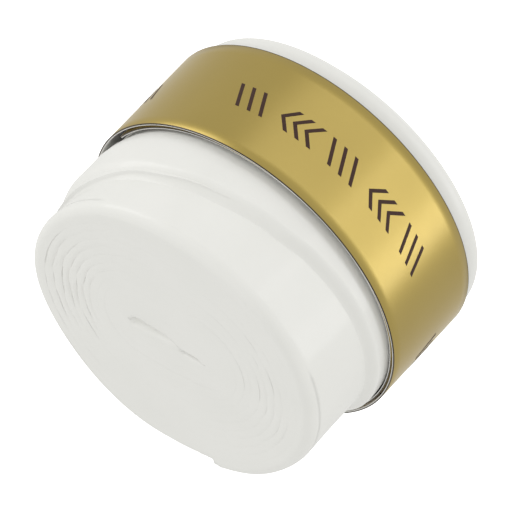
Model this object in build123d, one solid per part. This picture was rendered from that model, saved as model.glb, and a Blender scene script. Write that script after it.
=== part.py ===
from build123d import *
import os
from math import ceil, cos, radians, sin

# A roll of cushioned racket-grip tape, held by a printed card sleeve.
#
# The roll stands on its far end. The origin is the centre of that end, and +Z is the
# roll's axis, towards the end whose collapsed centre slit shows. Angles are about +Z,
# from +X. Tape and sleeve are both wound clockwise as seen from +Z, from the inside
# out, so their angles fall as they grow. Lengths are millimetres, angles degrees.

# Tape: a polyurethane layer outside, a felt backing inside.
TAPE_WIDTH = 30.0
SURFACE_THICKNESS = 0.45
LAMINATE_GAP = 0.03
TURN_GAP = 0.04

# Winding: semicircles joined by straights that get shorter outwards, so that the flat
# slit in the middle turns into a nearly round outside.
SLIT_ANGLE = 25.0
SLIT_HALF_LENGTH = 4.4
SLIT_HALF_WIDTH = 0.35
TAPE_START_U = -2.4
ROLL_RADIUS = 18.7
LAST_HALF_TURN = 29
OUTER_STRAIGHT_HALF = 0.3

# Tapered outer end: a small notch, then a slanted cut that leaves a blunt tip.
TAPER_START_ANGLE = 134.0
TAPER_TURN = 330.0
TAPER_NOTCH = 1.2
TAPER_SLOPE = 0.106
TAPER_STATION_STEP = 10.0
TAPER_BLOCK_MARGIN = 3.0
TAPER_LEAD = 2.0

# Adhesive strip and its release liner, on the back of the tapered end.
STARTER_START = -100.0
STARTER_END = -215.0
STARTER_WIDTH = 10.0
STARTER_BOTTOM = 2.5
STARTER_GLUE_THICKNESS = 0.08
STARTER_LINER_THICKNESS = 0.08
STARTER_ROOM = 0.22
STARTER_ROOM_START = -94.0
STARTER_GAP = 0.02

# Finishing tape and its liner, wrapped on the roll under the sleeve.
FINISHING_START = 87.0
FINISHING_END = -175.0
FINISHING_WIDTH = 12.0
FINISHING_BOTTOM = 4.4
FINISHING_LINER_THICKNESS = 0.07
FINISHING_TAPE_THICKNESS = 0.11
FINISHING_GAP = 0.02

# Sleeve: a foil-faced card strip, wound more than one and a half turns.
SLEEVE_OUTER_RADIUS = 21.4
SLEEVE_WIDTH = 14.25
SLEEVE_BOTTOM = 3.3
CARD_THICKNESS = 0.22
FOIL_THICKNESS = 0.03
SLEEVE_LAYER_GAP = 0.05
SLEEVE_INNER_END_ANGLE = -7.0
SLEEVE_END_ARC_RADIUS = 20.3
SLEEVE_CLOSING_ANGLE = 90.0

# Glue line that closes the sleeve under its outer end.
SLEEVE_GLUE_THICKNESS = 0.03
SLEEVE_GLUE_SPAN = 16.0
SLEEVE_GLUE_INSET = 2.0
SLEEVE_GLUE_MARGIN = 1.0

# Printed marks: a plain repeated pattern of slanted bars and chevrons in thin ink.
INK_THICKNESS = 0.02
INK_GAP = 0.005
MARK_HEIGHT = 3.2
MARK_STROKE = 0.45
MARK_SLANT = 26.0
CHEVRON_SLANT = 42.0
MARK_STEP_ANGLE = 4.4
MARK_CUTTER_DEPTH = 2.0
MARK_GROUP_COUNT = 3
MARK_GROUP_STEP = 120.0
MARK_FIRST_GROUP_ANGLE = -89.5
MARK_PATTERN = ("bar", "bar", "bar", "gap", "chevron", "chevron", "chevron", "gap")
MARK_PATTERN_LENGTH = 19

# Derived winding sizes.
HALF_PITCH = (ROLL_RADIUS - SLIT_HALF_WIDTH) / LAST_HALF_TURN
FIRST_HALF_TURN = 2
TAIL_HALF_TURN = LAST_HALF_TURN + 2
TAPER_LOCAL_START = TAPER_START_ANGLE - SLIT_ANGLE - 360.0
TAPER_LOCAL_END = TAPER_LOCAL_START - TAPER_TURN + 360.0
CLOCKWISE_HALF_TURN = -180.0

# One side of the sleeve's outermost round is nearer its centre by half a layer, so the
# centre stands off by half of that, to put the outside in the middle.
SLEEVE_CENTRE_X = (CARD_THICKNESS + FOIL_THICKNESS + SLEEVE_LAYER_GAP) / 4.0


def is_right_hand(half_turn):
    """Even half turns wrap the +u end of the slit, odd ones the -u end."""
    return half_turn % 2 == 0


def straight_half(half_turn):
    """Half the straight stretch at this half turn, along the slit."""
    share = half_turn / TAIL_HALF_TURN
    return SLIT_HALF_LENGTH + (OUTER_STRAIGHT_HALF - SLIT_HALF_LENGTH) * share


def half_turn_centre(half_turn):
    """Centre of a half turn's arcs, in the slit's own axes (u along it, v across)."""
    side = 1.0 if is_right_hand(half_turn) else -1.0
    return side * straight_half(half_turn), -side * HALF_PITCH / 2.0


def half_turn_radius(half_turn):
    """Radius of the boundary outside a half turn."""
    return SLIT_HALF_WIDTH + half_turn * HALF_PITCH


def arc_start(half_turn):
    """Angle where the half turn begins: the top on the right, the bottom on the left."""
    return 90.0 if is_right_hand(half_turn) else -90.0


def boundary_point(half_turn, offset, angle):
    """Point on a half turn's boundary, moved outwards by offset."""
    centre_u, centre_v = half_turn_centre(half_turn)
    radius = half_turn_radius(half_turn) + offset
    return (
        centre_u + radius * cos(radians(angle)),
        centre_v + radius * sin(radians(angle)),
    )


def boundary_arc(half_turn, offset, start, sweep):
    """Arc along a half turn's boundary, moved outwards by offset."""
    radius = half_turn_radius(half_turn) + offset
    return CenterArc(half_turn_centre(half_turn), radius, start, sweep)


def angle_spans(first, last, start_angle, end_angle):
    """Half turns from first to last, each with the angles where it begins and ends."""
    spans = []
    for half_turn in range(first, last + 1):
        begin = start_angle if half_turn == first else arc_start(half_turn)
        end = end_angle if half_turn == last else arc_start(half_turn) + CLOCKWISE_HALF_TURN
        spans.append((half_turn, begin, end))
    return spans


def boundary_path(first, last, offset, start_angle, end_angle):
    """Arcs and straights along the boundary, between angles on two half turns."""
    edges = []
    for half_turn, begin, end in angle_spans(first, last, start_angle, end_angle):
        arc = boundary_arc(half_turn, offset, begin, end - begin)
        if edges:
            edges.append(Line(edges[-1] @ 1, arc @ 0))
        edges.append(arc)
    return edges


def face_between(outer, inner):
    """Face between two open paths that run side by side."""
    start_cap = Line(outer[0] @ 0, inner[0] @ 0)
    end_cap = Line(outer[-1] @ 1, inner[-1] @ 1)
    return make_face([*outer, end_cap, *inner, start_cap])


def from_slit_axes(shape):
    """Turn a shape made in the slit's own axes into the roll's axes."""
    return Rot(0, 0, SLIT_ANGLE) * shape


# Tape winding


def wound_path(first, offset):
    """Path from the tape's inner end, along the slit, to where the taper begins."""
    last = first + LAST_HALF_TURN - FIRST_HALF_TURN
    turns = boundary_path(first, last, offset, arc_start(first), TAPER_LOCAL_START)
    join = turns[0] @ 0
    return [Line((TAPE_START_U, join.Y), join), *turns]


def wound_layer(outer_offset, inner_shift, inner_offset):
    """Full-width layer of the winding. Its inside follows the turn inner_shift before."""
    outer = wound_path(FIRST_HALF_TURN, outer_offset)
    inner = wound_path(FIRST_HALF_TURN - inner_shift, inner_offset)
    return extrude(face_between(outer, inner), TAPE_WIDTH)


def taper_stations():
    """Half turn and angle of each section along the tapered end, and just past it."""
    stations = [(LAST_HALF_TURN, TAPER_LOCAL_START + TAPER_LEAD)]
    spans = angle_spans(LAST_HALF_TURN, TAIL_HALF_TURN, TAPER_LOCAL_START, TAPER_LOCAL_END)
    for half_turn, begin, end in spans:
        steps = ceil((begin - end) / TAPER_STATION_STEP)
        for step in range(steps + 1):
            stations.append((half_turn, begin + (end - begin) * step / steps))
    stations.append((TAIL_HALF_TURN, TAPER_LOCAL_END - TAPER_LEAD))
    return stations


def slanted_block():
    """Block under the slanted cut, wider than the tape is thick."""
    sections = []
    floor = -TAPER_BLOCK_MARGIN
    lead_length = ROLL_RADIUS * radians(TAPER_LEAD)
    height = TAPE_WIDTH - TAPER_NOTCH + TAPER_SLOPE * lead_length
    previous = None
    for half_turn, angle in taper_stations():
        point = Vector(*boundary_point(half_turn, 0.0, angle))
        if previous is not None:
            height -= TAPER_SLOPE * (point - previous).length
        previous = point
        outer = boundary_point(half_turn, TAPER_BLOCK_MARGIN, angle)
        inner = boundary_point(half_turn, -TAPER_BLOCK_MARGIN, angle)
        corners = [(*inner, floor), (*outer, floor), (*outer, height), (*inner, height)]
        sections.append(Face(Wire.make_polygon([Vector(*corner) for corner in corners])))
    return loft(sections, ruled=True)


def tapered_layer(outer_offset, inner_shift, inner_offset, starter_room=0.0):
    """Layer of the tapered end: the last turn, cut by the slanted block.

    Where the starter strip lies, the inside stands off by starter_room.
    """
    first = LAST_HALF_TURN
    last = TAIL_HALF_TURN
    outer = boundary_path(first, last, outer_offset, TAPER_LOCAL_START, TAPER_LOCAL_END)
    inner_first = first - inner_shift
    inner_last = last - inner_shift
    inner_end = STARTER_ROOM_START if starter_room > 0.0 else TAPER_LOCAL_END
    inner = boundary_path(inner_first, inner_last, inner_offset, TAPER_LOCAL_START, inner_end)
    if starter_room > 0.0:
        sweep = TAPER_LOCAL_END - STARTER_ROOM_START
        raised_offset = inner_offset + starter_room
        raised = boundary_arc(inner_last, raised_offset, STARTER_ROOM_START, sweep)
        inner += [Line(inner[-1] @ 1, raised @ 0), raised]
    return extrude(face_between(outer, inner), TAPE_WIDTH) & slanted_block()


def grip_surface():
    """Polyurethane layer: the outside of every turn."""
    outside = -TURN_GAP / 2.0
    inside = outside - SURFACE_THICKNESS
    wound = wound_layer(outside, 0, inside)
    tapered = tapered_layer(outside, 0, inside)
    return from_slit_axes(wound + tapered)


def grip_backing():
    """Felt layer: it fills each turn between the surface and the turn below."""
    outside = -TURN_GAP / 2.0 - SURFACE_THICKNESS - LAMINATE_GAP
    inside = TURN_GAP / 2.0
    wound = wound_layer(outside, 2, inside)
    tapered = tapered_layer(outside, 2, inside, STARTER_ROOM)
    return from_slit_axes(wound + tapered)


# Strips that lie on or under the tapered end


def strip_on_boundary(first, last, angles, offset, thickness, bottom, width):
    """Thin strip that follows the winding's boundary between two angles."""
    outer = boundary_path(first, last, offset + thickness, *angles)
    inner = boundary_path(first, last, offset, *angles)
    strip = extrude(face_between(outer, inner), width)
    return from_slit_axes(Pos(0, 0, bottom) * strip)


def starter_strip(offset, thickness):
    """Strip under the tapered end, on the turn below it."""
    angles = (STARTER_START, STARTER_END)
    half_turn = LAST_HALF_TURN
    return strip_on_boundary(
        half_turn, half_turn, angles, offset, thickness, STARTER_BOTTOM, STARTER_WIDTH
    )


def starter_release_liner():
    """Paper liner against the turn below."""
    return starter_strip(TURN_GAP / 2.0 + STARTER_GAP, STARTER_LINER_THICKNESS)


def starter_adhesive():
    """Double-sided adhesive against the tapered end's felt."""
    liner_top = TURN_GAP / 2.0 + STARTER_GAP + STARTER_LINER_THICKNESS
    return starter_strip(liner_top + STARTER_GAP / 2.0, STARTER_GLUE_THICKNESS)


def finishing_strip(offset, thickness):
    """Strip wrapped on the outside of the tapered end."""
    angles = (FINISHING_START, FINISHING_END)
    return strip_on_boundary(
        LAST_HALF_TURN + 1,
        TAIL_HALF_TURN,
        angles,
        offset,
        thickness,
        FINISHING_BOTTOM,
        FINISHING_WIDTH,
    )


def finishing_tape_liner():
    """Paper liner between the roll and the finishing tape."""
    return finishing_strip(FINISHING_GAP, FINISHING_LINER_THICKNESS)


def finishing_tape():
    """Thin vinyl tape that will close the grip on the handle."""
    liner_top = FINISHING_GAP + FINISHING_LINER_THICKNESS
    return finishing_strip(liner_top + FINISHING_GAP, FINISHING_TAPE_THICKNESS)


# Sleeve


def sleeve_arcs():
    """Centre Y, inner radius, start angle and sweep of the card's arcs.

    The inner end leans in on a smaller arc. The first round runs at the inner radius,
    half a turn moves out by one layer, and the last stretch lies on the first.
    """
    strip = CARD_THICKNESS + FOIL_THICKNESS
    outer_layer = SLEEVE_OUTER_RADIUS - strip
    inner_layer = outer_layer - strip - SLEEVE_LAYER_GAP
    lean = inner_layer - SLEEVE_END_ARC_RADIUS
    crossing = (inner_layer + outer_layer) / 2.0
    crossing_shift = crossing - outer_layer
    inner_end = SLEEVE_INNER_END_ANGLE
    closing = SLEEVE_CLOSING_ANGLE
    return [
        (-lean, SLEEVE_END_ARC_RADIUS, inner_end, -90.0 - inner_end),
        (0.0, inner_layer, -90.0, CLOCKWISE_HALF_TURN),
        (crossing_shift, crossing, 90.0, CLOCKWISE_HALF_TURN),
        (0.0, outer_layer, -90.0, closing - 360.0 + 90.0),
    ]


def sleeve_path(offset, arcs):
    """Path along the sleeve's inside, moved outwards by offset."""
    edges = []
    for centre_y, radius, start, sweep in arcs:
        edges.append(CenterArc((SLEEVE_CENTRE_X, centre_y), radius + offset, start, sweep))
    return edges


def sleeve_layer(inner_offset, thickness):
    """Layer of the wound strip, over its whole length and width."""
    arcs = sleeve_arcs()
    outer = sleeve_path(inner_offset + thickness, arcs)
    inner = sleeve_path(inner_offset, arcs)
    return Pos(0, 0, SLEEVE_BOTTOM) * extrude(face_between(outer, inner), SLEEVE_WIDTH)


def sleeve_card():
    """Card body of the strip."""
    return sleeve_layer(0.0, CARD_THICKNESS)


def sleeve_foil():
    """Metallised facing on the outside of the card."""
    return sleeve_layer(CARD_THICKNESS, FOIL_THICKNESS)


def sleeve_glue_strip():
    """Glue line between the two layers, just before the outer end."""
    strip = CARD_THICKNESS + FOIL_THICKNESS
    inner_layer = SLEEVE_OUTER_RADIUS - 2.0 * strip - SLEEVE_LAYER_GAP
    base = inner_layer + strip + (SLEEVE_LAYER_GAP - SLEEVE_GLUE_THICKNESS) / 2.0
    start = SLEEVE_CLOSING_ANGLE + SLEEVE_GLUE_INSET
    centre = (SLEEVE_CENTRE_X, 0)
    outer = [CenterArc(centre, base + SLEEVE_GLUE_THICKNESS, start, SLEEVE_GLUE_SPAN)]
    inner = [CenterArc(centre, base, start, SLEEVE_GLUE_SPAN)]
    width = SLEEVE_WIDTH - 2.0 * SLEEVE_GLUE_MARGIN
    glue = extrude(face_between(outer, inner), width)
    return Pos(0, 0, SLEEVE_BOTTOM + SLEEVE_GLUE_MARGIN) * glue


def ink_shell():
    """Thin layer of ink over the sleeve's outermost round."""
    base = CARD_THICKNESS + FOIL_THICKNESS + INK_GAP
    arcs = sleeve_arcs()[2:]
    outer = sleeve_path(base + INK_THICKNESS, arcs)
    inner = sleeve_path(base, arcs)
    return Pos(0, 0, SLEEVE_BOTTOM) * extrude(face_between(outer, inner), SLEEVE_WIDTH)


def stroke(height, slant):
    """Straight stroke of ink that spans a height at a slant."""
    length = height / cos(radians(slant))
    return Rot(slant, 0, 0) * Box(MARK_CUTTER_DEPTH, MARK_STROKE, length)


def mark_shape(kind):
    """One bar, or one chevron made of two strokes that meet in its tip."""
    if kind == "bar":
        return stroke(MARK_HEIGHT, MARK_SLANT)
    half = MARK_HEIGHT / 2.0
    upper = Pos(0, 0, half / 2.0) * stroke(half, CHEVRON_SLANT)
    lower = Pos(0, 0, -half / 2.0) * stroke(half, -CHEVRON_SLANT)
    return upper + lower


def sleeve_print_marks():
    """Ink marks, in groups centred on the sleeve's width."""
    shell = ink_shell()
    middle = SLEEVE_BOTTOM + SLEEVE_WIDTH / 2.0
    marks = []
    for group in range(MARK_GROUP_COUNT):
        group_angle = MARK_FIRST_GROUP_ANGLE - group * MARK_GROUP_STEP
        for index in range(MARK_PATTERN_LENGTH):
            kind = MARK_PATTERN[index % len(MARK_PATTERN)]
            if kind == "gap":
                continue
            from_centre = index - (MARK_PATTERN_LENGTH - 1) / 2.0
            angle = group_angle - from_centre * MARK_STEP_ANGLE
            place = Rot(0, 0, angle) * Pos(SLEEVE_OUTER_RADIUS, 0, middle)
            marks += (shell & (place * mark_shape(kind))).solids()
    return Compound(marks)


def write_parts():
    """Write one STEP file for each piece and print its length where it is a strip."""
    os.makedirs("parts", exist_ok=True)
    pieces = {
        "grip_surface": grip_surface(),
        "grip_backing": grip_backing(),
        "starter_adhesive": starter_adhesive(),
        "starter_release_liner": starter_release_liner(),
        "finishing_tape": finishing_tape(),
        "finishing_tape_liner": finishing_tape_liner(),
        "sleeve_card": sleeve_card(),
        "sleeve_foil": sleeve_foil(),
        "sleeve_glue_strip": sleeve_glue_strip(),
        "sleeve_print_marks": sleeve_print_marks(),
    }
    for name, piece in pieces.items():
        export_step(piece, f"parts/{name}.step")
    surface_volume = pieces["grip_surface"].volume
    print("tape length about", round(surface_volume / SURFACE_THICKNESS / TAPE_WIDTH), "mm")


write_parts()
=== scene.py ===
import math

import bmesh
import bpy
import numpy as np
from mathutils import Matrix, Vector, noise


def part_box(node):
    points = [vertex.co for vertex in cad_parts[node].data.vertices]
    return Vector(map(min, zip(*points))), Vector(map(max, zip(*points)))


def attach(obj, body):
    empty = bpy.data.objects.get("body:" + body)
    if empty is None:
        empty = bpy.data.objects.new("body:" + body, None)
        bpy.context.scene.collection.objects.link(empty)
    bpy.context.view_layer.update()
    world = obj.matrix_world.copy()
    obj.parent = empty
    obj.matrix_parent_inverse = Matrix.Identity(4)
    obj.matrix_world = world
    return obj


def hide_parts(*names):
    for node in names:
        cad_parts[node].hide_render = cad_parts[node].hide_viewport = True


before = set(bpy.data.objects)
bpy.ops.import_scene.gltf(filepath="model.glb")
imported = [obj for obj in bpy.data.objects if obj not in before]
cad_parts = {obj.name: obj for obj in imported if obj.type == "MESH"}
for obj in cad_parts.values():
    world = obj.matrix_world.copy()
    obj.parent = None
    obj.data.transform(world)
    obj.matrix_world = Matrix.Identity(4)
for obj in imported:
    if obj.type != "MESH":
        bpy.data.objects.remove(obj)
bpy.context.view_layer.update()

# A roll of white cushioned grip tape in a gold foil-faced card sleeve.
#
# The frame's CAD solids give every size and place. The tape is rebuilt here as the
# ribbon that it is: its turns follow the same winding as the CAD solids, with the
# skived edges, the squeezed slit and the slack that the soft tape has.

MM = 0.001

# Winding, as in the CAD model.
SLIT_ANGLE = math.radians(25.0)
SLIT_HALF_LENGTH = 4.4 * MM
SLIT_HALF_WIDTH = 0.35 * MM
TAPE_START_U = -2.4 * MM
ROLL_RADIUS = 18.7 * MM
FIRST_HALF_TURN = 2
LAST_HALF_TURN = 29
TAIL_HALF_TURN = LAST_HALF_TURN + 2
OUTER_STRAIGHT_HALF = 0.3 * MM
HALF_PITCH = (ROLL_RADIUS - SLIT_HALF_WIDTH) / LAST_HALF_TURN
SLIT_V = -HALF_PITCH / 2.0
SURFACE_THICKNESS = 0.45 * MM
LAMINATE_GAP = 0.03 * MM
TURN_GAP = 0.04 * MM

# Tapered outer end.
TAPER_START = math.radians(134.0 - 360.0) - SLIT_ANGLE
TAPER_TURN = math.radians(330.0)
TAPER_END = TAPER_START - TAPER_TURN + 2.0 * math.pi
TAPER_NOTCH = 1.2 * MM
TAPER_NOTCH_LENGTH = 0.5 * MM
TAPER_SLOPE = 0.106
STARTER_ROOM = 0.22 * MM
STARTER_ROOM_START = math.radians(-94.0)
STARTER_ROOM_TOP = 13.5 * MM
STARTER_ROOM_AFTER = ROLL_RADIUS * math.radians(205.0)

# How finely the winding is cut up.
STATION_SPACING = 0.75 * MM
FEWEST_STEPS_IN_ARC = 14

# Ends of the turns.
NEAR_RIM_ROUNDING = 1.4 * MM
FAR_RIM_ROUNDING = 0.9 * MM
FAR_RIM_MARGIN = 0.6 * MM
EDGE_HOOK = 0.9 * MM
HOOK_CORNER = 0.2 * MM
FELT_CLEARANCE = 0.25 * MM
FELT_CROWN = 0.05 * MM
PRESSED_OVERLAP = 0.015 * MM
TAIL_OVERLAP = 0.09 * MM
# Share of the wall's height over which an edge's overlap dies away.
LIP_WALL_SHARE = 0.12

# Slanted cut edge: a long soft skive in the middle of the tail, and a short one elsewhere.
SHORT_SKIVE = 1.5 * MM
LONG_SKIVE = 3.4 * MM
LONG_SKIVE_AT = 44.0 * MM
LONG_SKIVE_SPREAD = 21.0 * MM
TAIL_RISE = 1.5 * MM
TAIL_RISE_SPAN = (84.0 * MM, 112.0 * MM)
RIPPLE_HEIGHT = 0.24 * MM
RIPPLE_LENGTH = 4.5 * MM
RIPPLE_SEED = 5.3
RIPPLE_FADE_IN = 20.0 * MM
# The slanted edge thins out just before it would lie along the turn below.
SKIVE_CUT_OFF = 0.94

# Lines between the turns at the slit end, and its slight unevenness.
LINE_DEPTH = 0.22 * MM
LINE_SIDE_SPREAD = 0.55
LINE_FAR_SIDE_SPREAD = 0.6
LINE_FAR_SIDE_SHARE = 0.3
LINE_FADE_IN = (9.5 * MM, 11.5 * MM)
LINE_FADE_OUT = (16.2 * MM, 17.2 * MM)
LINE_RAGGED_LENGTH = 2.6 * MM
LINE_RAGGED_SEED = 7.7
LINE_RAGGED_MIDDLE = 0.35
LINE_RAGGED_SWING = 1.3
LINE_CORNER_SHARE = 0.24
FAR_LINE_DEPTH = 0.04 * MM
FACE_WAVE = 0.02 * MM
FACE_WAVE_LENGTH = 26.0 * MM
FACE_WAVE_SEED = 3.1

# Slit, squeezed shut; u runs along it and v across it.
SLIT_SQUEEZE = 0.345 * MM
SLIT_WALL_EASE = 0.12 * MM
SLIT_REACH = 3.6 * MM
SLIT_FADE = (4.6 * MM, 7.5 * MM)
SLIT_BEND = 0.2 * MM
SLIT_BEND_LENGTH = 2.0 * MM
SLIT_HOOK = 0.35 * MM
SLIT_HOOK_SPAN = (3.9 * MM, 4.9 * MM)
SLIT_BEND_REACH = 5.0 * MM

# Space past the tape's inner end, closed off the slit's line.
END_THINS = (-2.5 * MM, -0.5 * MM)
END_SPACE_CLOSES = (-7.4 * MM, -5.1 * MM)
END_SPACE_V = 0.35 * MM
END_SPACE_REACH = 4.5 * MM
END_SPACE_SQUEEZE = 1.2 * MM
END_SPACE_SHIFT = 0.3 * MM

# Dents over the closed slit and over that space.
SLIT_DENT_DEPTH = 0.7 * MM
SLIT_DENT_RIM = 0.3 * MM
SLIT_DENT_WIDTHS = (0.16 * MM, 0.5 * MM)
SLIT_DENT_WIDENS = (-1.6 * MM, 3.2 * MM)
SLIT_DENT_STARTS = (-1.9 * MM, 1.6 * MM)
SLIT_DENT_ENDS = (4.5 * MM, 5.1 * MM)
SPACE_DENT_DEPTH = 0.5 * MM
SPACE_DENT_U = -3.4 * MM
SPACE_DENT_LENGTH = 1.0 * MM
SPACE_DENT_V = 0.3 * MM
SPACE_DENT_HALF_WIDTH = 0.95 * MM
SPACE_DENT_EASE = 0.3 * MM

# The roll swells on both sides of the sleeve, and its slit end leans over.
SWELL_FROM = 16.3 * MM
SWELL_TO = 17.6 * MM
SWELL_DELAY = 0.7 * MM
SWELL_DELAY_ANGLE = math.radians(-35.0)
SWELL_DELAY_SPREAD = math.radians(45.0)
SWELL_GROWTH = (0.025, 0.020)
SWELL_LEAN_X = 0.37 * MM
TIP_SPAN = (23.0 * MM, 29.5 * MM)
TIP_GROWTH = (0.012, 0.065)
TIP_LEAN = (0.13 * MM, 1.2 * MM)
CORE_LEAN = (0.5 * MM, 0.4 * MM)
CORE_RADIUS = 8.0 * MM
FOOT_SPAN = (1.4 * MM, 3.2 * MM)
FOOT_GROWTH = 0.018

# Bulges and dents of the side, each with its depth, its angle and its spread.
SIDE_RADII = (12.0 * MM, 19.0 * MM)
RIM_FLARE_RADII = (14.0 * MM, 18.0 * MM)
RIM_FLARE_SPAN = (26.5 * MM, 29.5 * MM)
RIM_FLARES = (
    (0.6 * MM, math.radians(33.0), math.radians(26.0)),
    (0.3 * MM, math.radians(150.0), math.radians(14.0)),
)
TIP_BULGE = (1.1 * MM, math.radians(102.0), math.radians(32.0))
SIDE_DENT = (0.35 * MM, 0.0, math.radians(28.0))
SIDE_DENT_IN = (24.0 * MM, 25.5 * MM)
SIDE_DENT_OUT = (28.3 * MM, 30.0 * MM)
WAIST = (0.35 * MM, math.radians(2.0), math.radians(26.0))
WAIST_IN = (16.4 * MM, 17.4 * MM)
WAIST_OUT = (18.0 * MM, 20.0 * MM)

# Shares of the way from the inside of a turn to its outside, along its cut edge, and of
# the way down its wall.
EDGE_SHARES = np.array([0.0, 0.008, 0.05, 0.12, 0.28, 0.48, 0.66, 0.8, 0.9, 0.96, 0.992, 1.0])
WALL_SHARES = np.array(
    [0.015, 0.03, 0.06, 0.1, 0.15, 0.21, 0.28, 0.36, 0.44, 0.58, 0.72, 0.83, 0.88, 0.92, 0.96]
)
FELT_EDGE_SHARES = (0.0, 0.15, 0.5, 0.85, 1.0)

tape_low, tape_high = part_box("grip_surface")
TAPE_BOTTOM = tape_low[2]
TAPE_TOP = tape_high[2]


def smooth(low, high, x):
    """0 below low, 1 above high, and a smooth step between."""
    t = np.clip((x - low) / (high - low), 0.0, 1.0)
    return t * t * (3.0 - 2.0 * t)


def fade(low, high, x):
    """1 below low, 0 above high, and a smooth step between."""
    return 1.0 - smooth(low, high, x)


def bump(x, centre, spread):
    """1 at the centre, and less and less away from it on both sides."""
    return np.exp(-np.square((x - centre) / spread))


# ---------------------------------------------------------------- winding


def is_right_hand(half_turn):
    return half_turn % 2 == 0


def arc_start(half_turn):
    return math.pi / 2 if is_right_hand(half_turn) else -math.pi / 2


def half_turn_centre(half_turn):
    side = 1.0 if is_right_hand(half_turn) else -1.0
    share = half_turn / TAIL_HALF_TURN
    straight = SLIT_HALF_LENGTH + (OUTER_STRAIGHT_HALF - SLIT_HALF_LENGTH) * share
    return np.array([side * straight, -side * HALF_PITCH / 2.0])


def boundary_point(half_turn, angle):
    """Point on the boundary outside a half turn, in the slit's own axes."""
    radius = SLIT_HALF_WIDTH + half_turn * HALF_PITCH
    return half_turn_centre(half_turn) + radius * np.array([math.cos(angle), math.sin(angle)])


def winding_stations():
    """Outside and inside points of the tape at each station, and the tail's length there.

    The tail's length is counted from where the taper begins, and is negative before it.
    """
    pairs = []
    start_outer = boundary_point(FIRST_HALF_TURN, math.pi / 2)
    start_inner = boundary_point(FIRST_HALF_TURN - 2, math.pi / 2)
    steps = math.ceil((start_outer[0] - TAPE_START_U) / STATION_SPACING)
    for step in range(steps):
        along = TAPE_START_U + (start_inner[0] - TAPE_START_U) * step / steps
        pairs.append((np.array([along, start_outer[1]]), np.array([along, start_inner[1]])))
    taper_at = None
    for half_turn in range(FIRST_HALF_TURN, TAIL_HALF_TURN + 1):
        begin = arc_start(half_turn)
        spans = [(begin, begin - math.pi)]
        if half_turn == LAST_HALF_TURN:
            spans = [(begin, TAPER_START), (TAPER_START, begin - math.pi)]
        if half_turn == TAIL_HALF_TURN:
            spans = [(begin, TAPER_END)]
        for low, high in spans:
            if low == TAPER_START:
                taper_at = len(pairs) - 1
            radius = SLIT_HALF_WIDTH + half_turn * HALF_PITCH
            steps = max(FEWEST_STEPS_IN_ARC, math.ceil((low - high) * radius / STATION_SPACING))
            first_step = 1 if low == TAPER_START else 0
            for step in range(first_step, steps + 1):
                angle = low + (high - low) * step / steps
                pairs.append((boundary_point(half_turn, angle), boundary_point(half_turn - 2, angle)))
        if half_turn < TAIL_HALF_TURN:
            pairs += straight_between(pairs[-1], half_turn + 1)
    outer = np.array([pair[0] for pair in pairs])
    inner = np.array([pair[1] for pair in pairs])
    steps = np.linalg.norm(np.diff(outer, axis=0), axis=1)
    travelled = np.concatenate([[0.0], np.cumsum(steps)])
    return outer, inner, travelled - travelled[taper_at]


def straight_between(last_pair, next_half_turn):
    """Stations inside the straight before the next half turn."""
    begin = arc_start(next_half_turn)
    next_pair = (boundary_point(next_half_turn, begin), boundary_point(next_half_turn - 2, begin))
    length = np.linalg.norm(next_pair[0] - last_pair[0])
    steps = math.ceil(length / STATION_SPACING)
    found = []
    for step in range(1, steps):
        share = step / steps
        found.append(tuple(a + (b - a) * share for a, b in zip(last_pair, next_pair)))
    return found


def wavy(values, scale, seed):
    """Smooth repeatable noise between -1 and 1 along a list of lengths."""
    found = [noise.noise(Vector((value / scale, seed, 0.5 * seed))) for value in values]
    return np.array(found)


# ---------------------------------------------------------------- tape shape


def slit_shape(points):
    """Squeeze the slit shut, in the slit's own axes."""
    u, v = points[..., 0], points[..., 1]
    within = fade(*SLIT_FADE, np.abs(u))
    # The slit's two walls meet.
    offset = v - SLIT_V
    reach = bump(offset, 0.0, SLIT_REACH) * within
    v = v - SLIT_SQUEEZE * np.tanh(offset / SLIT_WALL_EASE) * reach
    # The tape's inner end is pressed thin, and the space past it closes.
    thin = fade(*END_THINS, u) * smooth(*END_SPACE_CLOSES, u)
    offset = v - END_SPACE_V
    reach = bump(offset, 0.0, END_SPACE_REACH) * thin
    squeeze = END_SPACE_SQUEEZE * np.tanh(offset / END_SPACE_SQUEEZE)
    v = v + (END_SPACE_SHIFT - squeeze) * reach
    # The closed slit is a little bent, and hooks over at one end.
    bend = SLIT_BEND * np.sin(u / SLIT_BEND_LENGTH) + SLIT_HOOK * smooth(*SLIT_HOOK_SPAN, u)
    bend = bend * bump(v, SLIT_V, SLIT_BEND_REACH) * within
    return np.stack([u, v + bend], axis=-1)


def side_shift(radius, angle, z):
    """How far the bulges and dents of the roll's side move a point outwards."""
    flare = sum(depth * bump(angle, centre, spread) for depth, centre, spread in RIM_FLARES)
    flare = flare * smooth(*RIM_FLARE_SPAN, z) * smooth(*RIM_FLARE_RADII, radius)
    bulge = TIP_BULGE[0] * bump(angle, *TIP_BULGE[1:]) * smooth(*TIP_SPAN, z)
    dent = SIDE_DENT[0] * bump(angle, *SIDE_DENT[1:])
    dent = dent * smooth(*SIDE_DENT_IN, z) * fade(*SIDE_DENT_OUT, z)
    waist = WAIST[0] * bump(angle, *WAIST[1:])
    waist = waist * smooth(*WAIST_IN, z) * fade(*WAIST_OUT, z)
    return flare + (bulge - dent - waist) * smooth(*SIDE_RADII, radius)


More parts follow.
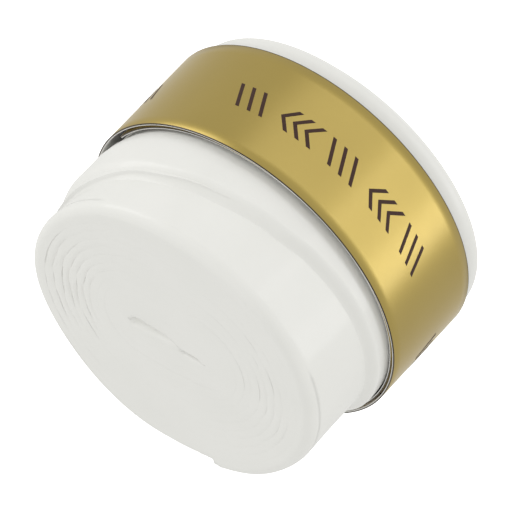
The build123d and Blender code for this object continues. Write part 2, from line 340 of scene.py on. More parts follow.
def tape_shape(flat_points, z):
    """Where a point of the wound tape lies once the soft roll has settled."""
    settled = slit_shape(flat_points)
    cos_slit, sin_slit = math.cos(SLIT_ANGLE), math.sin(SLIT_ANGLE)
    x = settled[..., 0] * cos_slit - settled[..., 1] * sin_slit
    y = settled[..., 0] * sin_slit + settled[..., 1] * cos_slit
    radius, angle = np.hypot(x, y), np.arctan2(y, x)
    # Under the sleeve the roll keeps its size; it swells on both sides of it.
    delay = SWELL_DELAY * bump(angle, SWELL_DELAY_ANGLE, SWELL_DELAY_SPREAD)
    swell = smooth(SWELL_FROM, SWELL_TO + delay, z)
    tip = smooth(*TIP_SPAN, z)
    foot = fade(*FOOT_SPAN, z)
    core = bump(radius, 0.0, CORE_RADIUS) * tip
    grow_x = SWELL_GROWTH[0] * swell + TIP_GROWTH[0] * tip + FOOT_GROWTH * foot
    grow_y = SWELL_GROWTH[1] * swell + TIP_GROWTH[1] * tip + FOOT_GROWTH * foot
    lean_x = SWELL_LEAN_X * swell + TIP_LEAN[0] * tip + CORE_LEAN[0] * core
    lean_y = TIP_LEAN[1] * tip + CORE_LEAN[1] * core
    out = side_shift(radius, angle, z)
    x = x * (1.0 + grow_x) + lean_x + out * np.cos(angle)
    y = y * (1.0 + grow_y) + lean_y + out * np.sin(angle)
    return np.stack([x, y, z], axis=-1)


def outermost_full_radius(angle):
    """Radius of the outermost turn that reaches the slit end, by its angle from the slit."""
    cos_a, sin_a = np.cos(angle), np.sin(angle)
    found = []
    for half_turn in (LAST_HALF_TURN - 2, LAST_HALF_TURN - 1, LAST_HALF_TURN):
        centre = half_turn_centre(half_turn)
        radius = SLIT_HALF_WIDTH + half_turn * HALF_PITCH
        found.append(radius + centre[0] * cos_a + centre[1] * sin_a)
    under_tail, right, left = found
    past_cut = (angle > math.pi / 2) & (angle < TAPER_START + 2.0 * math.pi)
    return np.where(np.abs(angle) <= math.pi / 2, right, np.where(past_cut, under_tail, left))


def slit_dent(place):
    """How far the tape's edge sinks beside the slit, and beside the space past its end."""
    u, v = place[:, 0], place[:, 1]
    narrow, wide = SLIT_DENT_WIDTHS
    width = narrow + (wide - narrow) * smooth(*SLIT_DENT_WIDENS, u)
    along = smooth(*SLIT_DENT_STARTS, u) * fade(*SLIT_DENT_ENDS, u)
    from_slit = np.clip(np.abs(v - SLIT_V) - SLIT_DENT_RIM, 0.0, None)
    slit = SLIT_DENT_DEPTH * along * bump(from_slit, 0.0, width)
    along = np.exp(-np.power((u - SPACE_DENT_U) / SPACE_DENT_LENGTH, 4.0))
    from_space = np.clip(np.abs(v - SPACE_DENT_V) - SPACE_DENT_HALF_WIDTH, 0.0, None)
    space = SPACE_DENT_DEPTH * along * bump(from_space, 0.0, SPACE_DENT_EASE)
    return np.maximum(slit, space)


def near_rim_height(radius, rim_radius):
    """Height of the slit end's face: flat, then rounded down to the rim."""
    start = rim_radius - NEAR_RIM_ROUNDING
    across = np.clip((radius - start) / NEAR_RIM_ROUNDING, 0.0, 1.0)
    drop = NEAR_RIM_ROUNDING * (1.0 - np.sqrt(np.clip(1.0 - across * across, 0.0, 1.0)))
    return TAPE_TOP - drop


def far_rim_height(radius, rim_radius):
    """Height of the far end's face: flat on the ground, then rounded up to the rim."""
    start = rim_radius - FAR_RIM_ROUNDING
    across = np.clip((radius - start) / FAR_RIM_ROUNDING, 0.0, 1.0)
    lift = FAR_RIM_ROUNDING * (1.0 - np.sqrt(np.clip(1.0 - across * across, 0.0, 1.0)))
    return TAPE_BOTTOM + lift


def soft_step(across):
    """How far a soft cut edge has sunk, at a share of the way in from its outer side.

    It leaves the outer side and meets the turn below along their own slopes.
    """
    turned = np.arcsin(np.clip(1.0 - 2.0 * across, -1.0, 1.0)) / 3.0
    return 0.5 - np.sin(turned)


class Winding:
    """Stations of the tape, with the heights of its two edges at each one."""

    def __init__(self):
        self.outer, self.inner, self.tail = winding_stations()
        self.across = self.outer - self.inner
        self.thickness = np.linalg.norm(self.across, axis=1)
        self.length = self.tail - self.tail[0]

    def point(self, share):
        """Point at a share of the way from the inside to the outside, per station."""
        return self.inner + self.across * share[:, None]

    def near_height(self, share):
        """Height of the near edge at a share of the thickness, per station."""
        place = self.point(share)
        radius = np.linalg.norm(place, axis=1)
        rim = outermost_full_radius(np.arctan2(place[:, 1], place[:, 0]))
        height = near_rim_height(radius, rim)
        height = height - self.line_depth() * self.line_profile(share) - slit_dent(place)
        height = height + FACE_WAVE * wavy(self.length, FACE_WAVE_LENGTH, FACE_WAVE_SEED)
        slanted = self.slant_height() + self.skive_length() * soft_step((1.0 - share) * SKIVE_CUT_OFF)
        return np.where(self.tail > 0.0, np.minimum(height, slanted), height)

    def slant_height(self):
        """Height of the slanted cut on the tape's outer side, per station of the tail."""
        tail = np.clip(self.tail, 0.0, None)
        notch = TAPER_NOTCH * smooth(0.0, TAPER_NOTCH_LENGTH, self.tail)
        rise = TAIL_RISE * smooth(*TAIL_RISE_SPAN, tail)
        ripple = RIPPLE_HEIGHT * wavy(self.length, RIPPLE_LENGTH, RIPPLE_SEED)
        return TAPE_TOP - notch - TAPER_SLOPE * tail + rise + ripple * smooth(0.0, RIPPLE_FADE_IN, tail)

    def skive_length(self):
        """Height over which the slanted cut edge thins out, per station of the tail."""
        tail = np.clip(self.tail, 0.0, None)
        return SHORT_SKIVE + (LONG_SKIVE - SHORT_SKIVE) * bump(tail, LONG_SKIVE_AT, LONG_SKIVE_SPREAD)

    def line_depth(self):
        """How deep the line between two turns is at the near end, per station."""
        middle = self.point(np.full(len(self.tail), 0.5))
        radius = np.linalg.norm(middle, axis=1)
        angle = np.arctan2(middle[:, 1], middle[:, 0])
        side = bump(angle, 0.0, LINE_SIDE_SPREAD)
        far_side = LINE_FAR_SIDE_SHARE * bump(np.abs(angle), math.pi, LINE_FAR_SIDE_SPREAD)
        band = smooth(*LINE_FADE_IN, radius) * fade(*LINE_FADE_OUT, radius)
        swing = LINE_RAGGED_SWING * wavy(self.length, LINE_RAGGED_LENGTH, LINE_RAGGED_SEED)
        ragged = np.clip(LINE_RAGGED_MIDDLE + swing, 0.0, 1.0)
        return LINE_DEPTH * (side + far_side) * band * ragged

    def line_profile(self, share):
        """1 at a turn's two corners, 0 along the middle of its edge."""
        from_corner = np.minimum(share, 1.0 - share)
        return fade(0.0, LINE_CORNER_SHARE, from_corner)

    def far_height(self, share):
        """Height of the far edge at a share of the thickness, per station."""
        radius = np.linalg.norm(self.point(share), axis=1)
        rim = np.linalg.norm(self.outer, axis=1)
        outermost = np.maximum(rim, ROLL_RADIUS + FAR_RIM_MARGIN)
        height = far_rim_height(radius, outermost)
        return height + FAR_LINE_DEPTH * self.line_profile(share)


def ribbon_mesh(name, rings):
    """Closed mesh from a list of rings of points, one ring per station."""
    rings = np.asarray(rings)
    stations, around = rings.shape[:2]
    corner = np.arange(stations * around).reshape(stations, around)
    following = np.roll(corner, -1, axis=1)
    quads = np.stack([corner[:-1], corner[1:], following[1:], following[:-1]], axis=-1)
    faces = [tuple(int(i) for i in quad) for quad in quads.reshape(-1, 4)]
    faces.append(tuple(int(i) for i in corner[0]))
    faces.append(tuple(int(i) for i in corner[-1][::-1]))
    mesh = bpy.data.meshes.new(name)
    mesh.from_pydata([tuple(p) for p in rings.reshape(-1, 3)], [], faces)
    mesh.validate()
    make_normals_outward(mesh)
    mesh.polygons.foreach_set("use_smooth", [True] * len(mesh.polygons))
    piece = bpy.data.objects.new(name, mesh)
    bpy.context.collection.objects.link(piece)
    return piece


def make_normals_outward(mesh):
    """Flip every face if the closed mesh's volume comes out negative."""
    mesh.calc_loop_triangles()
    points = np.empty(len(mesh.vertices) * 3)
    mesh.vertices.foreach_get("co", points)
    points = points.reshape(-1, 3)
    corners = np.empty(len(mesh.loop_triangles) * 3, dtype=np.int64)
    mesh.loop_triangles.foreach_get("vertices", corners)
    a, b, c = (points[corners.reshape(-1, 3)[:, i]] for i in range(3))
    if float((a * np.cross(b, c)).sum()) < 0.0:
        mesh.flip_normals()


def build_grip_surface(winding):
    """Polyurethane layer, which wraps over both cut edges of the felt."""
    gap = TURN_GAP / 2.0 / winding.thickness
    on_tail = winding.tail > 0.0
    sunk = np.where(on_tail, TAIL_OVERLAP, PRESSED_OVERLAP) / winding.thickness
    raised = np.where(on_tail, 0.0, PRESSED_OVERLAP) / winding.thickness
    low_share, high_share = gap + starter_room_share(winding), 1.0 - gap
    low_edge, high_edge = -sunk, 1.0 + raised
    back_share = high_share - SURFACE_THICKNESS / winding.thickness
    rings = []

    def add(share, z):
        rings.append(tape_shape(winding.point(share), z))

    for part in EDGE_SHARES:
        share = low_edge + (high_edge - low_edge) * part
        add(share, winding.near_height(share))
    top = winding.near_height(high_edge)
    bottom = winding.far_height(high_edge)
    for part in WALL_SHARES:
        lip = fade(0.0, LIP_WALL_SHARE, part)
        add(high_share + (high_edge - high_share) * lip, top + (bottom - top) * part)
    for part in EDGE_SHARES[::-1]:
        share = low_share + (high_share - low_share) * part
        add(share, winding.far_height(share))
    hook_bottom = winding.far_height(low_share) + EDGE_HOOK
    hook_top = winding.near_height(low_edge) - EDGE_HOOK
    add(low_share, hook_bottom)
    add(back_share, hook_bottom + HOOK_CORNER)
    for part in WALL_SHARES[::-1]:
        add(back_share, hook_top + (hook_bottom - hook_top) * part)
    add(back_share, hook_top - HOOK_CORNER)
    add(low_edge, hook_top)
    return ribbon_mesh("grip_surface_wound", np.stack(rings, axis=1))


def starter_room_share(winding):
    """Share of the thickness that the starter strip takes at the back of the tail."""
    angle = np.arctan2(winding.outer[:, 1], winding.outer[:, 0])
    past = (winding.tail > STARTER_ROOM_AFTER) & ((angle < STARTER_ROOM_START) | (angle > 0.0))
    return np.where(past, STARTER_ROOM / winding.thickness, 0.0)


def build_grip_backing(winding):
    """Felt layer, inside the surface's hooked edges."""
    gap = TURN_GAP / 2.0 / winding.thickness
    room = starter_room_share(winding)
    high_share = 1.0 - gap - (SURFACE_THICKNESS + LAMINATE_GAP) / winding.thickness
    rings = []

    def add(part, z):
        low_share = gap + np.where(z < STARTER_ROOM_TOP, room, 0.0)
        share = low_share + (high_share - low_share) * part
        rings.append(tape_shape(winding.point(share), z))

    top = winding.near_height(gap) - EDGE_HOOK - FELT_CLEARANCE
    bottom = winding.far_height(gap + room) + EDGE_HOOK + FELT_CLEARANCE
    for part in FELT_EDGE_SHARES:
        add(part, top + FELT_CROWN * math.sin(math.pi * part))
    for part in WALL_SHARES:
        add(1.0, top + (bottom - top) * part)
    for part in FELT_EDGE_SHARES[::-1]:
        add(part, bottom - FELT_CROWN * math.sin(math.pi * part))
    for part in WALL_SHARES[::-1]:
        add(0.0, top + (bottom - top) * part)
    return ribbon_mesh("grip_backing_felt", np.stack(rings, axis=1))


# ---------------------------------------------------------------- sleeve

SLEEVE_OUTER_RADIUS = 21.4 * MM
CARD_THICKNESS = 0.22 * MM
FOIL_THICKNESS = 0.03 * MM
SLEEVE_LAYER_GAP = 0.05 * MM
STRIP_THICKNESS = CARD_THICKNESS + FOIL_THICKNESS
SLEEVE_CENTRE_X = (STRIP_THICKNESS + SLEEVE_LAYER_GAP) / 4.0
SLEEVE_END_ARC_RADIUS = 20.3 * MM
SLEEVE_INNER_END = math.radians(-7.0)
SLEEVE_CLOSING = math.radians(90.0)
SLEEVE_STEP = math.radians(1.0)
# The facing is a laminate over a pale card core, and takes up part of the strip's thickness; the dark
# line along its cut edge is a painted dark reflection of its turned rim.
PALE_CORE = 0.11 * MM
CARD_CORNER = 0.025 * MM
FOIL_CORNER = 0.02 * MM
STRIP_SHARES = (0.1, 0.3, 0.5, 0.7, 0.9)
# The inner layer sits a little lower, and its near edge bends in.
INNER_LAYER_SUNK = 0.25 * MM
INNER_LAYER_SUNK_AT = math.radians(100.0)
INNER_LAYER_SUNK_SPREAD = math.radians(50.0)
INNER_EDGE_BEND = 0.14 * MM
INNER_EDGE_BEND_FROM = 15.4 * MM
BEND_STARTS = (math.radians(30.0), math.radians(80.0))
BEND_ENDS = (math.radians(300.0), math.radians(350.0))

sleeve_low, sleeve_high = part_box("sleeve_card")
SLEEVE_BOTTOM = sleeve_low[2]
SLEEVE_TOP = sleeve_high[2]


def sleeve_arcs():
    """Centre, inner radius, start angle and sweep of the strip's arcs, as in the CAD."""
    outer_layer = SLEEVE_OUTER_RADIUS - STRIP_THICKNESS
    inner_layer = outer_layer - STRIP_THICKNESS - SLEEVE_LAYER_GAP
    crossing = (inner_layer + outer_layer) / 2.0
    lean = inner_layer - SLEEVE_END_ARC_RADIUS
    down = -math.pi / 2
    return [
        (-lean, SLEEVE_END_ARC_RADIUS, SLEEVE_INNER_END, down - SLEEVE_INNER_END),
        (0.0, inner_layer, down, -math.pi),
        (crossing - outer_layer, crossing, math.pi / 2, -math.pi),
        (0.0, outer_layer, down, SLEEVE_CLOSING - 2.0 * math.pi - down),
    ]


def sleeve_stations():
    """Inside points of the strip, its outward normals and the angle turned so far."""
    points, normals, turned = [], [], []
    total = 0.0
    for index, (centre_y, radius, begin, sweep) in enumerate(sleeve_arcs()):
        steps = math.ceil(abs(sweep) / SLEEVE_STEP)
        for step in range(0 if index == 0 else 1, steps + 1):
            angle = begin + sweep * step / steps
            normal = np.array([math.cos(angle), math.sin(angle)])
            points.append(np.array([SLEEVE_CENTRE_X, centre_y]) + radius * normal)
            normals.append(normal)
            turned.append(total + abs(sweep) * step / steps)
        total += abs(sweep)
    return np.array(points), np.array(normals), np.array(turned)


def sleeve_lean(turned, z):
    """How far the strip stands out from its plain arcs: the inner layer's edge bends in.

    The inner end itself keeps its arc, since the finishing tape lies right under it.
    """
    inner_layer = smooth(*BEND_STARTS, turned) * fade(*BEND_ENDS, turned)
    return -INNER_EDGE_BEND * inner_layer * smooth(INNER_EDGE_BEND_FROM, SLEEVE_TOP, z)


class Sleeve:
    """Wound strip of the sleeve, as rings of points around its cross-section."""

    def __init__(self):
        self.points, self.normals, self.turned = sleeve_stations()

    def ring(self, out, z_share):
        """Points at one place of the cross-section, at every station."""
        height = SLEEVE_BOTTOM + (SLEEVE_TOP - SLEEVE_BOTTOM) * z_share
        sunk = INNER_LAYER_SUNK * bump(self.turned, INNER_LAYER_SUNK_AT, INNER_LAYER_SUNK_SPREAD)
        z = height - sunk * z_share
        outward = out + sleeve_lean(self.turned, z)
        flat = self.points + self.normals * outward[:, None]
        return np.column_stack([flat, z])

    def layer(self, name, low, high, corner):
        """Closed strip between two distances from the inside, with eased corners."""
        ease = corner / (SLEEVE_TOP - SLEEVE_BOTTOM)
        section = [(low, ease), (low + corner, 0.0), (high - corner, 0.0), (high, ease)]
        section += [(high, share) for share in STRIP_SHARES]
        section += [(high, 1.0 - ease), (high - corner, 1.0)]
        section += [(low + corner, 1.0), (low, 1.0 - ease)]
        section += [(low, share) for share in STRIP_SHARES[::-1]]
        rings = [self.ring(out, share) for out, share in section]
        return ribbon_mesh(name, np.stack(rings, axis=1))


def build_sleeve_card(sleeve):
    return sleeve.layer("sleeve_card_strip", 0.0, PALE_CORE, CARD_CORNER)


def build_sleeve_foil(sleeve):
    return sleeve.layer("sleeve_foil_facing", PALE_CORE, STRIP_THICKNESS, FOIL_CORNER)


# ---------------------------------------------------------------- printed marks

MARK_HEIGHT = 3.2 * MM
MARK_STROKE = 0.45 * MM
MARK_SLANT = math.radians(26.0)
CHEVRON_SLANT = math.radians(42.0)
MARK_STEP = math.radians(4.4)
MARK_GROUPS = 3
MARK_GROUP_STEP = math.radians(120.0)
MARK_FIRST_GROUP = math.radians(-89.5)
MARK_PATTERN = ("bar", "bar", "bar", "gap", "chevron", "chevron", "chevron", "gap")
MARK_PATTERN_LENGTH = 19
MARK_ROWS = 10
INK_LOW = 0.003 * MM
INK_HIGH = 0.02 * MM


def foil_point(angle, height, out):
    """Point over the sleeve's outermost round, at an angle about its centre."""
    crossing_side = math.cos(angle) > 0.0
    arcs = sleeve_arcs()
    centre_y, radius = arcs[2][:2] if crossing_side else arcs[3][:2]
    reach = radius + STRIP_THICKNESS + out
    return (SLEEVE_CENTRE_X + reach * math.cos(angle), centre_y + reach * math.sin(angle), height)


def chevron_outline():
    """Half of a chevron as (along, height) pairs: its tip, its end and back."""
    half = MARK_HEIGHT / 2.0
    reach = half * math.tan(CHEVRON_SLANT)
    width = MARK_STROKE / math.cos(CHEVRON_SLANT)
    tip, end = reach / 2.0, -reach / 2.0
    return [(tip, 0.0), (end, half), (end - width, half), (tip - width, 0.0)]


def bar_outline():
    """A slanted bar as (along, height) pairs."""
    half = MARK_HEIGHT / 2.0
    reach = half * math.tan(MARK_SLANT)
    width = MARK_STROKE / math.cos(MARK_SLANT) / 2.0
    foot, head = (reach, -half), (-reach, half)
    return [
        (foot[0] + width, foot[1]),
        (head[0] + width, head[1]),
        (head[0] - width, head[1]),
        (foot[0] - width, foot[1]),
    ]


def mark_mesh_parts(outline, angle):
    """Vertices and faces of one thin curved mark over a four-cornered outline."""
    middle = (SLEEVE_BOTTOM + SLEEVE_TOP) / 2.0
    rows = MARK_ROWS
    vertices, faces = [], []
    a, b, c, d = (np.array(corner) for corner in outline)
    for out in (INK_LOW, INK_HIGH):
        for row in range(rows + 1):
            share = row / rows
            for side in range(3):
                near = a + (b - a) * share
                far = d + (c - d) * share
                along, height = near + (far - near) * side / 2.0
                place = angle + along / SLEEVE_OUTER_RADIUS
                vertices.append(foil_point(place, middle + height, out))
    layer = 3 * (rows + 1)
    for row in range(rows):
        for side in range(2):
            first = row * 3 + side
            low = (first, first + 1, first + 4, first + 3)
            faces.append(low)
            faces.append(tuple(layer + corner for corner in low[::-1]))
        for side in (0, 2):
            first = row * 3 + side
            wall = (first, first + 3, layer + first + 3, layer + first)
            faces.append(wall if side == 0 else wall[::-1])
    for side in range(2):
        first = side
        faces.append((first, layer + first, layer + first + 1, first + 1))
        first = rows * 3 + side
        faces.append((first, first + 1, layer + first + 1, layer + first))
    return vertices, faces


def build_print_marks():
    """Groups of bars and chevrons printed round the sleeve."""
    vertices, faces = [], []
    upper = chevron_outline()
    lower = [(along, -height) for along, height in upper]
    shapes = {"bar": [bar_outline()], "chevron": [upper, lower]}
    for group in range(MARK_GROUPS):
        for index in range(MARK_PATTERN_LENGTH):
            kind = MARK_PATTERN[index % len(MARK_PATTERN)]
            if kind == "gap":
                continue
            from_centre = index - (MARK_PATTERN_LENGTH - 1) / 2.0
            angle = MARK_FIRST_GROUP - group * MARK_GROUP_STEP - from_centre * MARK_STEP
            for outline in shapes[kind]:
                some_vertices, some_faces = mark_mesh_parts(outline, angle)
                base = len(vertices)
                vertices += some_vertices
                faces += [tuple(base + corner for corner in face) for face in some_faces]
    mesh = bpy.data.meshes.new("sleeve_print")
    mesh.from_pydata(vertices, [], faces)
    piece = bpy.data.objects.new("sleeve_print", mesh)
    bpy.context.collection.objects.link(piece)
    tidy_normals(piece)
    return piece


def tidy_normals(piece):
    """Make each closed island's faces point outwards."""
    work = bmesh.new()
    work.from_mesh(piece.data)
    bmesh.ops.recalc_face_normals(work, faces=work.faces)
    work.to_mesh(piece.data)
    work.free()


# ---------------------------------------------------------------- materials

# Colours are linear, and each pair is the two ends of a mottling. A noise is given by its
# scale per metre, its detail and its roughness. A coat is given by its weight and its
# roughness, and a relief by its strength and its height.
PU_COLOURS = ((0.765, 0.765, 0.735), (0.805, 0.80, 0.775))
PU_ROUGHNESS = (0.42, 0.52)
PU_MOTTLE = (160.0, 4.0, 0.5)
PU_GRAIN = (5200.0, 2.0, 0.6)
PU_SPECULAR = 0.3
PU_COAT = (0.25, 0.12)
PU_RELIEF = (0.1, 0.02 * MM)

FELT_COLOURS = ((0.68, 0.68, 0.65), (0.82, 0.82, 0.79))
FELT_ROUGHNESS = (0.85, 0.98)
FELT_FIBRES = (3800.0, 6.0, 0.75)
FELT_SHEEN = 0.3
FELT_RELIEF = (0.5, 0.06 * MM)

CARD_COLOURS = ((0.70, 0.69, 0.67), (0.80, 0.79, 0.77))
CARD_ROUGHNESS = (0.75, 0.9)
CARD_FIBRES = (2600.0, 5.0, 0.65)
CARD_RELIEF = (0.25, 0.02 * MM)

GOLD_COLOURS = ((0.37, 0.272, 0.059), (0.42, 0.311, 0.075))
GOLD_ROUGHNESS = (0.30, 0.40)
GOLD_CLOUD = (90.0, 3.0, 0.5)
GOLD_FLECK = (6500.0, 2.0, 0.7)
GOLD_TINT = (0.88, 0.8, 0.6)
GOLD_COAT = (0.7, 0.26)
GOLD_RELIEF = (0.2, 0.01 * MM)
# Painted dark reflection: a dark line along the foil's cut edges stands in for the dark reflection of
# its turned rim; the widths are where it starts and where it is full.
PAINTED_RIM_REFLECTION_COLOUR = (0.03, 0.02, 0.015)
PAINTED_RIM_REFLECTION_WIDTHS = (0.13 * MM, 0.07 * MM)

INK_COLOURS = ((0.035, 0.014, 0.010), (0.06, 0.028, 0.02))
INK_ROUGHNESS = (0.5, 0.65)
INK_UNEVEN = (3000.0, 3.0, 0.5)
INK_SPECULAR = 0.25

PAPER_ROUGHNESS = (0.45, 0.6)
PAPER_NOISE = (4.0, 0.6)
PAPER_RELIEF = (0.1, 0.01 * MM)
LINER_COLOURS = ((0.80, 0.77, 0.70), (0.88, 0.86, 0.80))
LINER_SCALE = 1500.0
GLUE_COLOURS = ((0.80, 0.77, 0.68), (0.88, 0.86, 0.78))
GLUE_SCALE = 700.0
VINYL_COLOURS = ((0.78, 0.78, 0.76), (0.84, 0.84, 0.82))
VINYL_SCALE = 2500.0

FLOOR_COLOUR = (0.93, 0.93, 0.93)
FLOOR_ROUGHNESS = 0.9
FLOOR_GLOW_COLOUR = (1.0, 1.0, 1.0)
FLOOR_GLOW = 0.65


def new_material(name):
    """Empty node material and its Principled shader."""
    material = bpy.data.materials.new(name)
    material.use_nodes = True
    nodes = material.node_tree.nodes
    nodes.clear()
    output = nodes.new("ShaderNodeOutputMaterial")
    shader = nodes.new("ShaderNodeBsdfPrincipled")
    material.node_tree.links.new(shader.outputs["BSDF"], output.inputs["Surface"])
    return material, shader


def add_node(material, kind, **settings):
    node = material.node_tree.nodes.new(kind)
    for name, value in settings.items():
        setattr(node, name, value)
    return node


def link(material, source, target):
    material.node_tree.links.new(source, target)


def object_coordinates(material):
    return add_node(material, "ShaderNodeTexCoord").outputs["Object"]


def noise_texture(material, coordinates, scale, detail, roughness):
    node = add_node(material, "ShaderNodeTexNoise")
    node.inputs["Scale"].default_value = scale
    node.inputs["Detail"].default_value = detail
    node.inputs["Roughness"].default_value = roughness
    link(material, coordinates, node.inputs["Vector"])
    return node.outputs["Fac"]


def spread(material, value, low, high):
    """Map 0..1 to low..high."""
    node = add_node(material, "ShaderNodeMapRange")
    node.inputs["To Min"].default_value = low
    node.inputs["To Max"].default_value = high
    link(material, value, node.inputs["Value"])
    return node.outputs["Result"]


def two_colours(material, value, low, high):
    """Blend between two colours by a value."""
    node = add_node(material, "ShaderNodeMix", data_type="RGBA")
    node.inputs["A"].default_value = (*low, 1.0)
    node.inputs["B"].default_value = (*high, 1.0)
    link(material, value, node.inputs["Factor"])
    return node.outputs["Result"]


def add_relief(material, shader, height, strength, distance):
    node = add_node(material, "ShaderNodeBump")
    node.inputs["Strength"].default_value = strength
    node.inputs["Distance"].default_value = distance
    link(material, height, node.inputs["Height"])
    link(material, node.outputs["Normal"], shader.inputs["Normal"])


def add_coat(shader, weight, roughness):
    shader.inputs["Coat Weight"].default_value = weight
    shader.inputs["Coat Roughness"].default_value = roughness


def mottled_material(name, noise_shape, colours, roughness):
    """Material, its shader, and the noise that its colour and its roughness follow."""
    material, shader = new_material(name)
    uneven = noise_texture(material, object_coordinates(material), *noise_shape)
    link(material, two_colours(material, uneven, *colours), shader.inputs["Base Color"])
    link(material, spread(material, uneven, *roughness), shader.inputs["Roughness"])
    return material, shader, uneven


def polyurethane():
    """Satin white polyurethane: a fine grain, faint mottling and a soft shine."""
    material, shader, _ = mottled_material(
        "grip_polyurethane", PU_MOTTLE, PU_COLOURS, PU_ROUGHNESS
    )
    grain = noise_texture(material, object_coordinates(material), *PU_GRAIN)
    shader.inputs["Specular IOR Level"].default_value = PU_SPECULAR
    add_coat(shader, *PU_COAT)
    add_relief(material, shader, grain, *PU_RELIEF)
    return material


def felt():
    """Pressed white felt: short fibres lying every way."""
    material, shader, fibres = mottled_material(
        "grip_felt", FELT_FIBRES, FELT_COLOURS, FELT_ROUGHNESS
    )
    shader.inputs["Sheen Weight"].default_value = FELT_SHEEN
    add_relief(material, shader, fibres, *FELT_RELIEF)
    return material


def card():
    """Uncoated white card: fine paper fibre."""
    material, shader, fibres = mottled_material(
        "sleeve_card", CARD_FIBRES, CARD_COLOURS, CARD_ROUGHNESS
    )
    add_relief(material, shader, fibres, *CARD_RELIEF)
    return material


def painted_rim_reflection_mask(material, place):
    """Mask of the painted dark reflection: 1 along the foil's two cut edges and 0 over the rest of it.
    """
    split = add_node(material, "ShaderNodeSeparateXYZ")
    link(material, place, split.inputs["Vector"])
    middle = add_node(material, "ShaderNodeMath", operation="SUBTRACT")
    middle.inputs[1].default_value = (SLEEVE_BOTTOM + SLEEVE_TOP) / 2.0
    link(material, split.outputs["Z"], middle.inputs[0])
    away = add_node(material, "ShaderNodeMath", operation="ABSOLUTE")
    link(material, middle.outputs["Value"], away.inputs[0])
    half = (SLEEVE_TOP - SLEEVE_BOTTOM) / 2.0
    soft_width, full_width = PAINTED_RIM_REFLECTION_WIDTHS
    line = add_node(material, "ShaderNodeMapRange", interpolation_type="SMOOTHSTEP")
    line.inputs["From Min"].default_value = half - soft_width
    line.inputs["From Max"].default_value = half - full_width
    link(material, away.outputs["Value"], line.inputs["Value"])
    return line.outputs["Result"]


def gold_foil():
    """Satin gold metallised print, with a painted dark reflection: a dark line along its two cut edges.
    """
    material, shader = new_material("sleeve_foil")
    place = object_coordinates(material)
    cloud = noise_texture(material, place, *GOLD_CLOUD)
    fleck = noise_texture(material, place, *GOLD_FLECK)
    gold = two_colours(material, cloud, *GOLD_COLOURS)
    # Painted dark reflection: the gold turns dark along the foil's two cut edges, standing in for the
    # dark reflection of its turned rim.
    gold_with_painted_reflection = add_node(material, "ShaderNodeMix", data_type="RGBA")
    gold_with_painted_reflection.inputs["B"].default_value = (*PAINTED_RIM_REFLECTION_COLOUR, 1.0)
    link(material, painted_rim_reflection_mask(material, place), gold_with_painted_reflection.inputs["Factor"])
    link(material, gold, gold_with_painted_reflection.inputs["A"])
    link(material, gold_with_painted_reflection.outputs["Result"], shader.inputs["Base Color"])
    shader.inputs["Metallic"].default_value = 1.0
    shader.inputs["Specular Tint"].default_value = (*GOLD_TINT, 1.0)
    add_coat(shader, *GOLD_COAT)
    link(material, spread(material, fleck, *GOLD_ROUGHNESS), shader.inputs["Roughness"])
    add_relief(material, shader, fleck, *GOLD_RELIEF)
    return material


def ink():
    """Dark brown printing ink, a little uneven."""
    material, shader, _ = mottled_material("sleeve_ink", INK_UNEVEN, INK_COLOURS, INK_ROUGHNESS)
    shader.inputs["Specular IOR Level"].default_value = INK_SPECULAR
    return material


def plain_paper(name, colours, scale):
    """Smooth coated paper or film, faintly uneven."""
    noise_shape = (scale, *PAPER_NOISE)
    material, shader, uneven = mottled_material(name, noise_shape, colours, PAPER_ROUGHNESS)
    add_relief(material, shader, uneven, *PAPER_RELIEF)
    return material


def floor_material():
    """Plain pale floor that stays white under the studio light."""
    material, shader = new_material("studio_floor")
    shader.inputs["Base Color"].default_value = (*FLOOR_COLOUR, 1.0)
    shader.inputs["Roughness"].default_value = FLOOR_ROUGHNESS
    shader.inputs["Emission Color"].default_value = (*FLOOR_GLOW_COLOUR, 1.0)
    shader.inputs["Emission Strength"].default_value = FLOOR_GLOW
    return material


# ---------------------------------------------------------------- studio

CAMERA_ELEVATION = math.radians(28.6)
CAMERA_ROLL = math.radians(-136.5)
CAMERA_DISTANCE = 813.0 * MM
FIELD_WIDTH = 58.35 * MM
SENSOR_WIDTH = 36.0
# The aim is off the sleeve's middle by this much to the right and up in the picture.
AIM_RIGHT = -2.81 * MM
AIM_UP = -2.91 * MM
CLIP_RATIO = 50.0

FLOOR_HALF_WIDTH = 2.5
FLOOR_DROP = 0.02 * MM
SKY_COLOUR = (1.0, 1.0, 0.98)
SKY_STRENGTH = 0.82

# Softboxes: azimuth and elevation in degrees, width and height in metres, and watts.
SOFTBOX_DISTANCE = 0.8
SOFTBOXES = {
    "key_light": (-157.0, -28.6, 0.28, 0.18, 0.46),
    "spill_light": (-126.0, -28.6, 0.52, 0.18, 0.53),
    "side_light": (-76.0, -28.6, 1.1, 0.18, 0.62),
    "fill_light": (-8.0, 8.0, 0.6, 0.3, 1.35),
    "top_light": (-60.0, 82.0, 0.6, 0.6, 0.7),
}


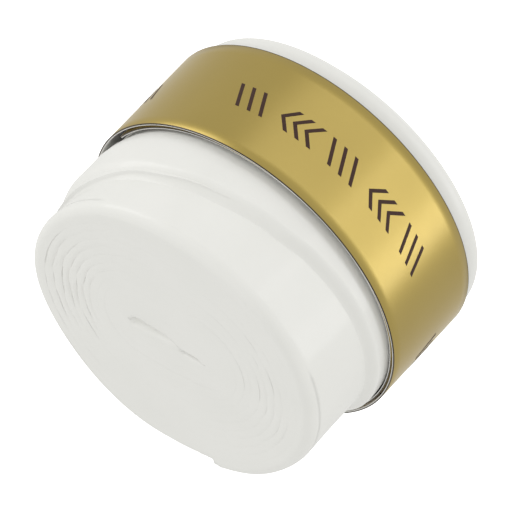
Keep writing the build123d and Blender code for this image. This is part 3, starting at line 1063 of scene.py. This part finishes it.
def add_camera():
    """Long-lens camera, rolled so that the slit end shows at the lower left."""
    back = Vector((0.0, -math.cos(CAMERA_ELEVATION), math.sin(CAMERA_ELEVATION)))
    level_right = Vector((1.0, 0.0, 0.0))
    level_up = Vector((0.0, math.sin(CAMERA_ELEVATION), math.cos(CAMERA_ELEVATION)))
    right = math.cos(CAMERA_ROLL) * level_right + math.sin(CAMERA_ROLL) * level_up
    up = -math.sin(CAMERA_ROLL) * level_right + math.cos(CAMERA_ROLL) * level_up
    sleeve_middle = Vector((0.0, 0.0, (SLEEVE_BOTTOM + SLEEVE_TOP) / 2.0))
    aim = sleeve_middle + right * AIM_RIGHT + up * AIM_UP
    place = aim + back * CAMERA_DISTANCE
    data = bpy.data.cameras.new("camera")
    data.sensor_width = SENSOR_WIDTH
    data.lens = SENSOR_WIDTH * CAMERA_DISTANCE / FIELD_WIDTH
    data.clip_start = CAMERA_DISTANCE / CLIP_RATIO
    data.clip_end = CAMERA_DISTANCE * CLIP_RATIO
    camera = bpy.data.objects.new("camera", data)
    turn = Matrix((right, up, back)).transposed().to_4x4()
    camera.matrix_world = Matrix.Translation(place) @ turn
    bpy.context.collection.objects.link(camera)
    bpy.context.scene.camera = camera


def add_softbox(name, azimuth, elevation, width, height, watts):
    """Rectangular light that faces the roll from a direction given in degrees."""
    a, e = math.radians(azimuth), math.radians(elevation)
    direction = Vector((math.cos(a) * math.cos(e), math.sin(a) * math.cos(e), math.sin(e)))
    data = bpy.data.lights.new(name, "AREA")
    data.shape = "RECTANGLE"
    data.size = width
    data.size_y = height
    data.energy = watts
    light = bpy.data.objects.new(name, data)
    target = Vector((0.0, 0.0, (TAPE_BOTTOM + TAPE_TOP) / 2.0))
    light.location = target + direction * SOFTBOX_DISTANCE
    light.rotation_mode = "QUATERNION"
    light.rotation_quaternion = (-direction).to_track_quat("-Z", "Y")
    bpy.context.collection.objects.link(light)


def add_floor():
    """Wide pale floor just under the roll."""
    half = FLOOR_HALF_WIDTH
    z = TAPE_BOTTOM - FLOOR_DROP
    mesh = bpy.data.meshes.new("studio_floor")
    corners = [(-half, -half, z), (half, -half, z), (half, half, z), (-half, half, z)]
    mesh.from_pydata(corners, [], [(0, 1, 2, 3)])
    mesh.materials.append(floor_material())
    floor = bpy.data.objects.new("studio_floor", mesh)
    bpy.context.collection.objects.link(floor)
    floor.visible_diffuse = False
    floor.visible_glossy = False
    floor.visible_shadow = False


def set_world():
    """Even pale surroundings."""
    world = bpy.data.worlds.new("studio")
    world.use_nodes = True
    sky = world.node_tree.nodes["Background"]
    sky.inputs["Color"].default_value = (*SKY_COLOUR, 1.0)
    sky.inputs["Strength"].default_value = SKY_STRENGTH
    bpy.context.scene.world = world


def set_up_studio():
    add_camera()
    add_floor()
    set_world()
    for name, softbox in SOFTBOXES.items():
        add_softbox(name, *softbox)
    scene = bpy.context.scene
    scene.view_settings.view_transform = "Standard"
    scene.view_settings.look = "None"
    scene.view_settings.exposure = 0.0


# ---------------------------------------------------------------- assembly


def dress(piece, material, body, slot, *replaced):
    """Give a new piece its material, its body and the CAD nodes that it stands for."""
    piece.data.materials.clear()
    piece.data.materials.append(material)
    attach(piece, body)
    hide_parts(*replaced)


def dress_cad_node(node, material):
    """Give a CAD node that stays its procedural material."""
    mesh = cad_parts[node].data
    mesh.materials.clear()
    mesh.materials.append(material)


def build_roll():
    winding = Winding()
    surface = build_grip_surface(winding)
    backing = build_grip_backing(winding)
    dress(surface, polyurethane(), "roll", "grip_polyurethane", "grip_surface")
    dress(backing, felt(), "roll", "grip_felt", "grip_backing")


def build_sleeve():
    sleeve = Sleeve()
    dress(build_sleeve_card(sleeve), card(), "sleeve", "sleeve_card", "sleeve_card")
    dress(build_sleeve_foil(sleeve), gold_foil(), "sleeve", "sleeve_foil", "sleeve_foil")
    dress(build_print_marks(), ink(), "sleeve", "sleeve_ink", "sleeve_print_marks")


def dress_hidden_parts():
    """Materials of the strips that the tape and the sleeve cover."""
    liner = plain_paper("liner_paper", LINER_COLOURS, LINER_SCALE)
    glue = plain_paper("adhesive", GLUE_COLOURS, GLUE_SCALE)
    vinyl = plain_paper("finishing_vinyl", VINYL_COLOURS, VINYL_SCALE)
    dress_cad_node("starter_release_liner", liner)
    dress_cad_node("finishing_tape_liner", liner)
    dress_cad_node("starter_adhesive", glue)
    dress_cad_node("sleeve_glue_strip", glue)
    dress_cad_node("finishing_tape", vinyl)


set_up_studio()
build_roll()
build_sleeve()
dress_hidden_parts()
